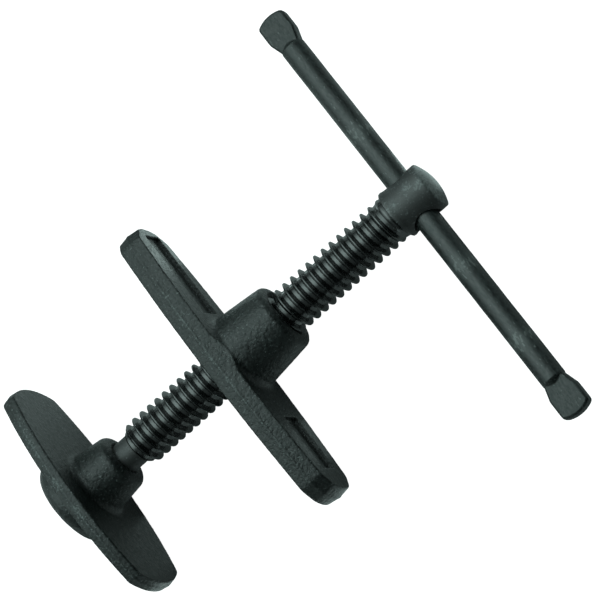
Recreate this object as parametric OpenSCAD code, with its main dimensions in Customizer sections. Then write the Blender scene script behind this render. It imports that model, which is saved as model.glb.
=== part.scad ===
// Brake caliper piston tool: a T-handle screw press that pushes a piston back into its caliper.
// The screw's axis lies along X, with the handle at +X. The origin is on that axis, in the plane
// of the pressure plate's far face, and +Z is up for the tool lying on its plates' long edges.

/* [Screw] */
// Outside diameter of the lead thread
thread_d = 19; // [17.5:0.5:19.5]
// Lead of the thread, the travel of one turn
lead = 4; // [3.5:0.5:5]
// Length of the threaded stretch, from the neck to the head
thread_len = 136; // [115:1:150]
// Diameter of the smooth neck that runs in the pressure plate
neck_d = 13; // [11:0.5:14]
// Bare length of the neck between the thread and the pressure plate's boss
neck_gap = 7; // [4:0.5:14]
// Diameter of the head
head_d = 20; // [20:0.5:23]
// Length of the head up to its rim
head_len = 17.5; // [15:0.5:22]
// Rise of the domed end of the head
head_dome = 2.5; // [1:0.25:4]

/* [Tommy bar] */
// Diameter of the bar
bar_d = 10; // [8:0.25:11]
// Length of the bar, tip to tip
bar_len = 197.5; // [150:0.5:240]
// How far the bar is slid through the head, towards -Y
bar_slid = 4.5; // [-20:0.5:20]
// Length of each flattened end
paddle_len = 16; // [12:0.5:22]
// Width of each flattened end near its tip
paddle_w = 12.5; // [11.5:0.25:16]
// Thickness of each flattened end
paddle_t = 6; // [4:0.25:7]

/* [Nut plate] */
// Length of the nut plate
nut_len = 130; // [118:1:150]
// Width of the nut plate across its middle
nut_w = 34; // [31:0.5:40]
// Width of the nut plate where its rounded ends start
nut_end_w = 24; // [20:0.5:28]
// Radius of the nut plate's rounded ends
nut_end_r = 22; // [18:0.5:30]
// Thickness of the nut plate
nut_t = 10.3; // [8:0.1:14]
// Height of the threaded boss above the plate
boss_h = 24; // [16:0.5:30]
// Diameter of the boss at its foot
boss_foot_d = 33; // [30:0.5:36]
// Diameter of the boss below its rounded rim
boss_top_d = 28.5; // [26:0.5:29.5]
// Depth of the sunk panel on each arm
panel_depth = 2; // [0.5:0.1:3]
// Width of the rim left along each sunk panel
panel_rim = 4.5; // [3:0.25:6]
// Length of the sunk panel on the +Y arm
panel_a = 38; // [24:0.5:39]
// Length of the sunk panel on the -Y arm
panel_b = 26; // [20:0.5:30]

/* [Pressure plate] */
// Length of the pressure plate
pad_len = 97; // [84:1:110]
// Width of the pressure plate across its middle
pad_w = 51; // [46:0.5:58]
// Width of the pressure plate where its blunt ends start
pad_end_w = 35; // [32:0.5:42]
// Radius of the pressure plate's blunt ends
pad_end_r = 34; // [28:0.5:44]
// Thickness of the pressure plate
pad_t = 6; // [5:0.25:8]
// Height of the swivel boss above the plate
swivel_h = 16; // [14:0.5:20]
// Diameter of the swivel boss at its foot
swivel_foot_d = 27; // [25:0.5:30]
// Diameter of the swivel boss below its rounded rim
swivel_top_d = 24; // [21:0.5:25]
// Diameter of the round pushing pad under the plate
push_d = 38.5; // [34:0.5:42]
// Height of the pushing pad at its crown
push_h = 9.3; // [8:0.1:12]

/* [Retaining ring] */
// Thickness of the snap ring
ring_t = 1.6; // [1.2:0.1:2]
// Radial width of the snap ring
ring_w = 2.4; // [1.8:0.1:2.8]
// Opening of the snap ring
ring_gap = 40; // [20:5:90]

/* [Fits and pose] */
// Gap between the two plates
opening = 68.2; // [60:0.5:90]
// Turn of the handle about the screw's axis
bar_turn = -3.5; // [-60:0.5:60]
// Turn of the pressure plate about the screw's axis
pad_turn = -2; // [-60:0.5:60]
// Radial play of the thread in the nut
thread_play = 0.08; // [0.05:0.01:0.1]
// Radial play of the neck in the swivel boss
neck_play = 0.06; // [0.03:0.01:0.1]
// Radial play of the bar in the head
bar_play = 0.08; // [0.05:0.01:0.1]
// Play of the snap ring in its grooves
ring_play = 0.1; // [0.05:0.01:0.15]

/* [Hidden] */
$fa = 2;
$fs = 0.4;
steel = "#363d3e";
bright = "#4b5253";
spring = "#5a5f61";

// Draft of forged walls, and the bevel on their edges
draft = 5;
edge = 1;

// How far the plates' corners are eased, and the panels' distance from the ends
ease = 1.6;
panel_a_end = 5;
panel_b_end = 10;

// Length of the sheared step between the bar's round and each flattened end, and of the stretch
// over which the end widens
shear = 2.2;
flare = 6;

// Stations along the screw's axis, up from the pressure plate's far face
pad_face_x = pad_t;
nut_foot_x = pad_face_x + opening;
nut_x = nut_foot_x + nut_t;
boss_x = nut_x + boss_h;
swivel_x = pad_face_x + swivel_h;
thread_x = swivel_x + neck_gap;
head_x = thread_x + thread_len;
rim_x = head_x + head_len;
bar_x = head_x + head_len / 2;
neck_end_x = -push_h / 2;
ring_x = pad_face_x + swivel_h * 0.4;

// The thread's root, which stays outside the neck, the flank's two ends as shares of a turn from
// the crest, the crest's angle where the thread starts, and how many straight steps make one turn
thread_root = max(thread_d / 2 - lead / 2 - 0.3, neck_d / 2 + 0.5);
flank_top = 0.1;
flank_foot = 0.32;
thread_turn = -90;
thread_steps = 12;

// How far the neck and the head run over the thread's two ends, and the bevel at the head's foot
bury = 0.3;
foot_ease = 0.2;

// The ring that sits across neck and boss
ring_in = neck_d / 2 - ring_w / 2;
ring_out = ring_in + ring_w;
dome_r = (pow(head_d / 2, 2) + pow(head_dome, 2)) / (2 * head_dome);

// Turns a profile of [radius, x] points about the screw's axis.
module turned() {
    rotate([0, 90, 0]) rotate_extrude($fn = 128) children();
}

// A straight round bar or hole along the axis from x0 to x1.
module rod(x0, x1, r0, r1) {
    translate([x0, 0, 0]) rotate([0, 90, 0]) cylinder(h = x1 - x0, r1 = r0, r2 = r1);
}

// Where a plate's bowed long edge meets its end arc.
function corner_y(len, end_w, end_r) = len / 2 - end_r + sqrt(end_r * end_r - end_w * end_w / 4);

// Radius of the bow through the middle's half width and that corner.
function bow_r(len, w, end_w, end_r) =
    let (y = corner_y(len, end_w, end_r), s = (w - end_w) / 2)
    (y * y + s * s) / (2 * s);

// One slice of a forged plate: bowed long edges, arched ends and eased corners. Its outline
// draws in from in0 at x0 to in1 at x0 + t, which gives the wall its draft.
module slice(x0, t, in0, in1, len, w, end_w, end_r) {
    bow = bow_r(len, w, end_w, end_r);
    reach = 1.4 * len / 2;
    cy = corner_y(len, end_w, end_r) - reach * sin(45);
    cz = end_w / 2 - reach * cos(45);
    translate([x0, 0, 0]) rotate([0, 90, 0]) intersection() {
        intersection_for (s = [-1, 1]) translate([s * (bow - w / 2), 0, 0])
            cylinder(h = t, r1 = bow - in0, r2 = bow - in1, $fn = 256);
        union() {
            translate([-w, end_r * 0.9 - len / 2, 0]) cube([2 * w, len - 1.8 * end_r, t]);
            for (s = [-1, 1]) translate([0, s * (len / 2 - end_r), 0])
                cylinder(h = t, r1 = end_r - in0, r2 = end_r - in1, $fn = 128);
        }
        intersection_for (a = [-1, 1]) intersection_for (b = [-1, 1]) translate([a * cz, b * cy, 0])
            cylinder(h = t, r1 = reach - ease - in0, r2 = reach - ease - in1, $fn = 256);
    }
}

// A forged plate between x0 and x0 + t: the walls draw in both ways from the parting line at
// mid-thickness, and the outer edges are bevelled.
module forging(x0, t, len, w, end_w, end_r) {
    half = t / 2;
    lean = (half - edge) * tan(draft);
    slice(x0, edge, lean + edge, lean, len, w, end_w, end_r);
    slice(x0 + edge, half - edge, lean, 0, len, w, end_w, end_r);
    slice(x0 + half, half - edge, 0, lean, len, w, end_w, end_r);
    slice(x0 + t - edge, edge, lean, lean + edge, len, w, end_w, end_r);
}

// A tapered boss on a forged face at x0, with a rounded rim.
module boss(x0, h, foot_d, top_d, rim) {
    turned() {
        polygon([[0, x0 - 1], [foot_d / 2, x0 - 1], [foot_d / 2, x0],
                 [top_d / 2, x0 + h - rim], [top_d / 2 - rim, x0 + h], [0, x0 + h]]);
        translate([top_d / 2 - rim, x0 + h - rim]) intersection() {
            circle(r = rim);
            square(rim);
        }
    }
}

// The hollow of one sunk panel from y0, which follows the plate's bowed edges.
module panel(y0, len) {
    inset = panel_rim + edge + (nut_t / 2 - edge) * tan(draft);
    intersection() {
        slice(nut_x - panel_depth, panel_depth + 1, inset + 0.4, inset, nut_len, nut_w, nut_end_w, nut_end_r);
        translate([nut_x - 2 * panel_depth, y0, -nut_w]) cube([3 * panel_depth, len, 2 * nut_w]);
    }
}

// The forged plate that the screw turns in, with its threaded boss and sunk panels.
module nut_plate() {
    bore_r = thread_d / 2 + thread_play;
    color(steel) difference() {
        union() {
            forging(nut_foot_x, nut_t, nut_len, nut_w, nut_end_w, nut_end_r);
            boss(nut_x, boss_h, boss_foot_d, boss_top_d, 3);
        }
        rod(nut_foot_x - 1, boss_x + 1, bore_r, bore_r);
        rod(boss_x - 1.2, boss_x + 0.01, bore_r, bore_r + 1.2);
        rod(nut_foot_x - 0.01, nut_foot_x + 1.2, bore_r + 1.2, bore_r);
        panel(nut_len / 2 - panel_a_end - panel_a, panel_a);
        panel(panel_b_end - nut_len / 2, panel_b);
    }
}

// Radius of the thread's cross-section at the angle a from its crest.
function thread_r(a) =
    let (off = min(a, 360 - a) / 360, share = (flank_foot - off) / (flank_foot - flank_top))
    thread_root + (thread_d / 2 - thread_root) * min(max(share, 0), 1);

// The right-handed lead thread from x0 to x1: its cross-section turns once for each lead.
module lead_thread(x0, x1) {
    turns = (x1 - x0) / lead;
    step = 360 / thread_steps;
    translate([x0, 0, 0]) rotate([0, 90, 0]) rotate(thread_turn)
        linear_extrude(x1 - x0, twist = -360 * turns, slices = thread_steps * turns, segments = thread_steps)
            polygon([for (a = [0:step:360 - step]) thread_r(a) * [cos(a), sin(a)]]);
}

// The spindle: swivel neck with its ring groove, lead thread, and domed head with a cross hole.
module screw() {
    groove = ring_in - ring_play;
    groove_low = ring_x - ring_play;
    groove_high = ring_x + ring_t + ring_play;
    color(bright) difference() {
        union() {
            turned() polygon([[0, neck_end_x], [neck_d / 2 - 1, neck_end_x], [neck_d / 2, neck_end_x + 1],
                              [neck_d / 2, groove_low], [groove, groove_low], [groove, groove_high],
                              [neck_d / 2, groove_high], [neck_d / 2, thread_x + bury],
                              [0, thread_x + bury]]);
            lead_thread(thread_x, head_x + bury);
            turned() {
                polygon([[0, head_x], [head_d / 2 - foot_ease, head_x], [head_d / 2, head_x + foot_ease],
                         [head_d / 2, rim_x], [0, rim_x]]);
                intersection() {
                    translate([0, rim_x + head_dome - dome_r]) circle(r = dome_r, $fa = 1);
                    translate([0, rim_x - 0.01]) square([head_d / 2, head_dome + 1]);
                }
            }
        }
        translate([bar_x, 0, 0]) rotate([90 + bar_turn, 0, 0])
            cylinder(h = 2 * head_d, r = bar_d / 2 + bar_play, center = true);
    }
}

// One flattened end of the bar, drawn for the +Y side, from its shear step to its tip.
module paddle() {
    flat = bar_len / 2 - paddle_len;
    tip = paddle_w / 2;
    waist = sqrt(pow(bar_d / 2, 2) - pow(paddle_t / 2, 2));
    translate([0, 0, -paddle_t / 2]) linear_extrude(paddle_t) {
        polygon([[-waist, flat - 1], [waist, flat - 1], [tip, flat + flare], [tip, bar_len / 2 - tip],
                 [-tip, bar_len / 2 - tip], [-tip, flat + flare]]);
        intersection() {
            translate([0, bar_len / 2 - paddle_w]) circle(r = paddle_w);
            translate([0, bar_len / 2 - tip]) circle(r = tip * 1.2);
            translate([-tip, bar_len / 2 - tip - 0.5]) square([2 * tip, tip + 1]);
        }
    }
    translate([0, flat, 0]) rotate([-90, 0, 0]) cylinder(h = shear, r1 = bar_d / 2, r2 = paddle_t / 2);
}

// The tommy bar, slid through the head.
module tommy_bar() {
    flat = bar_len / 2 - paddle_len;
    color(bright) translate([bar_x, 0, 0]) rotate([bar_turn, 0, 0]) translate([0, -bar_slid, 0]) {
        rotate([90, 0, 0]) cylinder(h = 2 * flat, r = bar_d / 2, center = true);
        paddle();
        mirror([0, 1, 0]) paddle();
    }
}

// The swivelling plate that bears on the piston: swivel boss above, round pushing pad below.
module pressure_plate() {
    crown = 48;
    round = 5;
    color(steel) difference() {
        union() {
            rotate([pad_turn, 0, 0]) forging(0, pad_t, pad_len, pad_w, pad_end_w, pad_end_r);
            boss(pad_face_x, swivel_h, swivel_foot_d, swivel_top_d, 3);
            turned() intersection() {
                translate([0, crown - push_h]) circle(r = crown, $fa = 1);
                union() {
                    translate([0, -push_h]) square([push_d / 2 - round, push_h + 1]);
                    translate([0, round + 1 - push_h]) square([push_d / 2, push_h - round]);
                    translate([push_d / 2 - round, round + 1 - push_h]) circle(r = round);
                }
                translate([0, -push_h]) square([push_d, push_h + 1]);
            }
        }
        rod(neck_end_x - 0.2, swivel_x + 1, neck_d / 2 + neck_play, neck_d / 2 + neck_play);
        rod(swivel_x - 1, swivel_x + 0.01, neck_d / 2 + neck_play, neck_d / 2 + neck_play + 1);
        rod(ring_x - ring_play, ring_x + ring_t + ring_play, ring_out + ring_play, ring_out + ring_play);
    }
}

// The snap ring that holds the neck in the swivel boss.
module snap_ring() {
    color(spring) rotate([0, 90, 0]) rotate([0, 0, ring_gap / 2]) rotate_extrude(angle = 360 - ring_gap)
        translate([ring_in, ring_x]) square([ring_w, ring_t]);
}

nut_plate();
snap_ring();
screw();
tommy_bar();
pressure_plate();
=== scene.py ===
"""Looks of the brake caliper piston tool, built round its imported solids.

The forged plates, the lead screw and the tommy bar are modelled as they are made: drafted
forgings with a parting line, a cut thread with its run-out, and a round bar with hammered ends.
All lengths are millimetres in the part's own frame, except where a docstring says metres.
"""

import logging
import math
from dataclasses import dataclass, field
from enum import Enum
from typing import Any, Sequence

import bmesh
import bpy
import numpy as np
from mathutils import Matrix, Vector


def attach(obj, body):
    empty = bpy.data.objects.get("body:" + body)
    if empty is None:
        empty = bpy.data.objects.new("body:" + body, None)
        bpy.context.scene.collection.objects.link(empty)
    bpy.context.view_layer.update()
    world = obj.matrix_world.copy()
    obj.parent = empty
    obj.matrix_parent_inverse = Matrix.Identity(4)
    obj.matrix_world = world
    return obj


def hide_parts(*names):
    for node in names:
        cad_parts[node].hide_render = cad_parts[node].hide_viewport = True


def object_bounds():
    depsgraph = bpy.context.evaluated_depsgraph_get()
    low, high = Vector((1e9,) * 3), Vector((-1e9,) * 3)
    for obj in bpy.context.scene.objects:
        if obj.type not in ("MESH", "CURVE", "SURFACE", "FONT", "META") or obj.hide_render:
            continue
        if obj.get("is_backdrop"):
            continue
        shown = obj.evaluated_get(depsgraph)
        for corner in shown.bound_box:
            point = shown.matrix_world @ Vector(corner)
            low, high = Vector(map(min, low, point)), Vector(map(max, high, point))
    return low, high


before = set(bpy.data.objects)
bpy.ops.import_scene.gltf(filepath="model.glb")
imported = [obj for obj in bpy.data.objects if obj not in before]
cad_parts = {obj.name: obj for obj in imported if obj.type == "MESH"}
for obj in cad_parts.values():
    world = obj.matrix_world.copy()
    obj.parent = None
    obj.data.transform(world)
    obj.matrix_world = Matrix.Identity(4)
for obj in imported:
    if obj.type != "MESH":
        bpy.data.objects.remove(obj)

LOG = logging.getLogger("piston_tool")
Profile = Sequence[tuple[float, float]]

# One millimetre in metres, and the smallest value that anything is divided by.
MM = 0.001
TINY = 1e-9
# Corners round a turned boss, pad or bore, and round a plate, and the length along X of a groove's
# shoulder, short enough to be as good as square.
ROUND = 128
PLATE_CORNERS = 288
SHOULDER = 0.001
# Angle in degrees up to which neighbouring faces are shaded as one.
SMOOTH_ANGLE = 40.0
# Angles along a quarter round, which rims and fillets follow.
QUARTER = [math.radians(15 * k) for k in range(7)]
# Lean of the forgings' walls in degrees, (height, inset) of their rounded edges, and (distance
# from the parting line, inset) of the ridge that trimming leaves there.
DRAFT = 7.0
EDGE: Profile = ((0.0, 0.3), (0.15, 0.1), (0.4, 0.0))
RIDGE: Profile = ((0.55, 0.04), (0.3, -0.15))
# Where the tommy bar crosses the screw's axis, and its turn about that axis in degrees.
BAR_X = 173.75
BAR_TURN = -3.5
# Where the snap ring's groove starts and ends along X, in the journal and in the swivel boss.
GROOVE = (12.3, 14.1)


class Join(Enum):
    """How one solid is worked into another."""

    ADD = "UNION"
    CUT = "DIFFERENCE"
    KEEP = "INTERSECT"


def clear_selection() -> None:
    """Leaves edit mode and deselects everything, so that an operator acts on one piece only."""
    if bpy.context.object and bpy.context.object.mode != "OBJECT":
        bpy.ops.object.mode_set(mode="OBJECT")
    bpy.ops.object.select_all(action="DESELECT")


def take(piece: bpy.types.Object) -> None:
    """Makes a piece the only selected one, and the active one.

    Args:
        piece: The piece that the next operators act on.
    """
    clear_selection()
    piece.select_set(True)
    bpy.context.view_layer.objects.active = piece


def start_disc(name: str, corners: int, radius: float, x: float) -> bpy.types.Object:
    """Adds a filled disc across the X axis and opens it in edit mode, all of it selected.

    Args:
        name: Name of the new piece.
        corners: Number of corners round its edge.
        radius: Radius of the disc.
        x: Where the disc stands along X.

    Returns:
        The new object, in edit mode.
    """
    clear_selection()
    bpy.ops.mesh.primitive_circle_add(
        vertices=corners, radius=radius * MM, fill_type="NGON", rotation=(0, math.pi / 2, 0)
    )
    piece = bpy.context.object
    piece.name = piece.data.name = name
    bpy.ops.object.transform_apply(location=True, rotation=True, scale=True)
    bpy.ops.object.mode_set(mode="EDIT")
    bpy.ops.mesh.select_mode(type="FACE")
    bpy.ops.mesh.select_all(action="SELECT")
    bpy.ops.transform.translate(value=(x * MM, 0, 0))
    return piece


def close_edit() -> None:
    """Turns the edited piece's faces outwards and leaves edit mode."""
    bpy.ops.mesh.select_all(action="SELECT")
    bpy.ops.mesh.normals_make_consistent(inside=False)
    bpy.ops.object.mode_set(mode="OBJECT")


def turned(name: str, profile: Profile, steps: int = 96) -> bpy.types.Object:
    """Turns a solid about the X axis by extruding and scaling a disc along its profile.

    Args:
        name: Name of the new piece.
        profile: Stations of (x, radius) along the axis.
        steps: Number of corners round the solid.

    Returns:
        The closed solid.
    """
    piece = start_disc(name, steps, profile[0][1], profile[0][0])
    for (x0, r0), (x1, r1) in zip(profile, profile[1:]):
        bpy.ops.mesh.extrude_region_move(TRANSFORM_OT_translate={"value": ((x1 - x0) * MM, 0, 0)})
        if abs(r1 - r0) > 1e-6:
            bpy.ops.transform.resize(value=(1, r1 / r0, r1 / r0), center_override=(x1 * MM, 0, 0))
    close_edit()
    return piece


def stacked(name: str, rings: Sequence[tuple[float, np.ndarray]], centre: float) -> bpy.types.Object:
    """Extrudes a disc through outlines of equal corner count, each at its own X.

    Args:
        name: Name of the new piece.
        rings: Stations of (x, outline), an outline being rows of (y, z).
        centre: The Y about which every outline is seen as a star.

    Returns:
        The closed solid.
    """
    piece = start_disc(name, len(rings[0][1]), 1.0, rings[0][0])
    for index, (x, ring) in enumerate(rings):
        if index:
            rise = (x - rings[index - 1][0]) * MM
            bpy.ops.mesh.extrude_region_move(TRANSFORM_OT_translate={"value": (rise, 0, 0)})
        shell = bmesh.from_edit_mesh(piece.data)
        offset = centre * MM if index else 0.0
        verts = sorted(
            (v for v in shell.verts if v.select), key=lambda v: math.atan2(v.co.z, v.co.y - offset)
        )
        order = np.argsort(np.arctan2(ring[:, 1], ring[:, 0] - centre), kind="stable")
        for vert, (y, z) in zip(verts, ring[order]):
            vert.co = (x * MM, y * MM, z * MM)
        bmesh.update_edit_mesh(piece.data)
    close_edit()
    return piece


def rolled(name: str, points: np.ndarray) -> bpy.types.Object:
    """Rolls a flat grid into a closed tube whose rows are the given rings.

    Args:
        name: Name of the new piece.
        points: Array of (rings, corners, 3); a ring of one point closes an end.

    Returns:
        The closed solid.
    """
    rings, corners = points.shape[:2]
    clear_selection()
    bpy.ops.mesh.primitive_grid_add(x_subdivisions=corners, y_subdivisions=rings - 1, size=1)
    piece = bpy.context.object
    piece.name = piece.data.name = name
    sheet = np.concatenate([points, points[:, :1]], axis=1).reshape(-1, 3) * MM
    piece.data.vertices.foreach_set("co", sheet.astype(np.float32).ravel())
    bpy.ops.object.mode_set(mode="EDIT")
    bpy.ops.mesh.select_all(action="SELECT")
    bpy.ops.mesh.remove_doubles(threshold=1e-7)
    close_edit()
    return piece


def modify(piece: bpy.types.Object, kind: str, **settings: Any) -> None:
    """Adds one modifier to a piece and applies it.

    Args:
        piece: The piece to change.
        kind: The modifier's type.
        **settings: Values for the modifier's properties.
    """
    take(piece)
    modifier = piece.modifiers.new(kind.lower(), kind)
    for key, value in settings.items():
        setattr(modifier, key, value)
    bpy.ops.object.modifier_apply(modifier=modifier.name)


def work(piece: bpy.types.Object, tool: bpy.types.Object, join: Join) -> None:
    """Works a second solid into a piece, and removes the second solid.

    Args:
        piece: The piece that is kept.
        tool: The second solid.
        join: How it is worked in.
    """
    modify(piece, "BOOLEAN", operation=join.value, solver="EXACT", object=tool)
    mesh = tool.data
    bpy.data.objects.remove(tool)
    bpy.data.meshes.remove(mesh)


def forge_skin(piece: bpy.types.Object, voxel: float, rounds: int, swell: Profile) -> None:
    """Gives a solid soft edges and the uneven skin of a forging.

    Args:
        piece: The solid.
        voxel: Size of the new faces.
        rounds: Smoothing passes, which round the edges.
        swell: Pairs of (hump width, height) of the skin's unevenness.
    """
    modify(piece, "REMESH", mode="VOXEL", voxel_size=voxel * MM)
    modify(piece, "SMOOTH", factor=0.5, iterations=rounds)
    for width, height in swell:
        cloud = bpy.data.textures.new(f"{piece.name}_skin", "CLOUDS")
        cloud.noise_scale = width * MM
        modify(
            piece, "DISPLACE", texture=cloud, texture_coords="LOCAL", strength=height * MM, mid_level=0.5
        )


def points_of(piece: bpy.types.Object) -> tuple[np.ndarray, np.ndarray]:
    """Reads a mesh's points.

    Args:
        piece: The mesh.

    Returns:
        Their places in millimetres and their normals, one row to a point.
    """
    places = np.empty(len(piece.data.vertices) * 3, np.float32)
    normals = np.empty_like(places)
    piece.data.vertices.foreach_get("co", places)
    piece.data.vertices.foreach_get("normal", normals)
    return places.reshape(-1, 3).astype(float) / MM, normals.reshape(-1, 3).astype(float)


def note(piece: bpy.types.Object, name: str, values: np.ndarray) -> None:
    """Stores one number for each of a mesh's points, for its material to read."""
    layer = piece.data.attributes.new(name, "FLOAT", "POINT")
    layer.data.foreach_set("value", values.astype(np.float32))


def note_edges(piece: bpy.types.Object, rounds: int, reach: float) -> None:
    """Stores how proud or hollow each point stands, as the attribute "edge" from -1 to 1.

    Args:
        piece: A piece with an even mesh.
        rounds: Smoothing passes that the point is compared with.
        reach: Height in millimetres that counts as 1.
    """
    places, normals = points_of(piece)
    count = len(places)
    pairs = np.empty(len(piece.data.edges) * 2, np.int32)
    piece.data.edges.foreach_get("vertices", pairs)
    one, two = pairs.reshape(-1, 2).T
    degree = np.bincount(one, minlength=count) + np.bincount(two, minlength=count)
    eased = places.copy()
    for _ in range(rounds):
        total = np.stack(
            [
                np.bincount(one, eased[two, k], count) + np.bincount(two, eased[one, k], count)
                for k in range(3)
            ],
            axis=1,
        )
        eased = 0.5 * eased + 0.5 * total / np.maximum(degree, 1)[:, None]
    proud = np.einsum("ij,ij->i", places - eased, normals) / reach
    note(piece, "edge", np.clip(proud, -1, 1))


def finish_piece(piece: bpy.types.Object, node: str, material: bpy.types.Material) -> None:
    """Dresses a piece and hands it to its body, which has the same name as its solid.

    Args:
        piece: The finished mesh.
        node: The solid that it stands for, and the body that it rides on.
        material: The material to wear.
    """
    take(piece)
    bpy.ops.object.shade_smooth_by_angle(angle=math.radians(SMOOTH_ANGLE))
    piece.data.materials.clear()
    piece.data.materials.append(material)
    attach(piece, node)
    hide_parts(node)
    LOG.info("%s: %d faces", piece.name, len(piece.data.polygons))


def linear(code: str) -> tuple[float, float, float, float]:
    """Turns an sRGB hex value into linear colour.

    Args:
        code: The value, as a hash sign and six digits.

    Returns:
        Red, green, blue and full alpha.
    """
    parts = [int(code[i : i + 2], 16) / 255 for i in (1, 3, 5)]
    red, green, blue = (p / 12.92 if p <= 0.04045 else ((p + 0.055) / 1.055) ** 2.4 for p in parts)
    return red, green, blue, 1.0


def add(
    tree: bpy.types.NodeTree, kind: str, inputs: dict[Any, Any] | None = None, **settings: Any
) -> bpy.types.Node:
    """Adds a node, sets its properties, and fills or links its sockets.

    Args:
        tree: The node tree.
        kind: The node's type, without the part that every type starts with.
        inputs: Socket to value, or to the output socket that feeds it.
        **settings: Values for the node's properties.

    Returns:
        The new node.
    """
    node = tree.nodes.new(f"ShaderNode{kind}")
    for key, value in settings.items():
        setattr(node, key, value)
    for socket, value in (inputs or {}).items():
        if isinstance(value, bpy.types.NodeSocket):
            tree.links.new(value, node.inputs[socket])
        else:
            node.inputs[socket].default_value = value
    return node


def per_mm(size: float) -> float:
    """Noise scale in metres whose features are the given size in millimetres."""
    return 1.0 / (size * MM)


def aims(count: int, wide: float = 1.0, high: float = 1.0) -> np.ndarray:
    """Spreads unit aims all the way round, as the points of an ellipse lie.

    Args:
        count: Number of aims.
        wide: Half the ellipse's size along Y.
        high: Half its size along Z.

    Returns:
        Rows of (y, z).
    """
    spread = np.linspace(0, 2 * math.pi, count, endpoint=False)
    aim = np.stack([wide * np.cos(spread), high * np.sin(spread)], axis=1)
    return aim / np.linalg.norm(aim, axis=1)[:, None]


def leave(aim: np.ndarray, y: float, z: float, radius: float) -> np.ndarray:
    """Says how far each aim runs from the origin until it leaves a disc.

    Args:
        aim: Rows of unit (y, z).
        y: The disc's middle along Y.
        z: Its middle along Z.
        radius: Its radius.

    Returns:
        One distance for each aim, 0 where it misses the disc.
    """
    middle = np.array([y, z])
    along = aim @ middle
    inside = along**2 - middle @ middle + radius**2
    return np.where(inside > 0, along + np.sqrt(np.maximum(inside, 0)), 0)


def softened(ring: np.ndarray, passes: int) -> np.ndarray:
    """Rounds the corners of a closed ring of points.

    Args:
        ring: Rows of (y, z).
        passes: How often each point is drawn towards its neighbours.

    Returns:
        The rounded ring.
    """
    for _ in range(passes):
        ring = (np.roll(ring, 1, 0) + 2 * ring + np.roll(ring, -1, 0)) / 4
    return ring


def rim_arc(top: float, radius: float, size: float) -> list[tuple[float, float]]:
    """Lists the stations of a rim of the given top and radius that is rounded by size."""
    return [(top - size + size * math.sin(a), radius - size + size * math.cos(a)) for a in QUARTER]


def fillet_arc(foot: float, radius: float, size: float) -> list[tuple[float, float]]:
    """Lists the stations of a fillet of the given size that starts at the foot and radius."""
    return [(foot + size * (1 - math.cos(a)), radius - size * math.sin(a)) for a in QUARTER]


def bar_place() -> Matrix:
    """Gives the place of the cross hole, with +Y along the tommy bar."""
    return Matrix.Translation((BAR_X * MM, 0, 0)) @ Matrix.Rotation(math.radians(BAR_TURN), 4, "X")


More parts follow.
